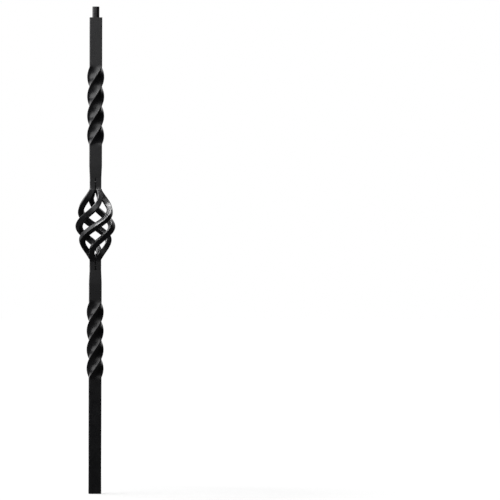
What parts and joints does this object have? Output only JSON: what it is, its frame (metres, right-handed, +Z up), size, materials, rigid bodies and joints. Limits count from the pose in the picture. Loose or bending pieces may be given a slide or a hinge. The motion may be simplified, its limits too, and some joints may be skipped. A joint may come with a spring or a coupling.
{
  "type": "stair baluster",
  "caption": "Upright square bar with right-hand twists above and below an open basket of twisted square rods and a round pin on top, fixed between a stair tread and a handrail.",
  "frame": {"origin": "centre of the foot's end face, where the baluster stands on the tread", "axes": "+Z up along the bar to the pin, X and Y square to the bar's faces, front towards -Y"},
  "size_m": [0.0814, 0.0814, 0.9906],
  "materials": {
    "black_coat": "satin black powder coat"
  },
  "bodies": {
    "root": {"upper_bar": "black_coat", "lower_bar": "black_coat", "basket_rod_left": "black_coat", "basket_rod_front": "black_coat", "basket_rod_right": "black_coat", "basket_rod_back": "black_coat"}
  },
  "joints": []
}
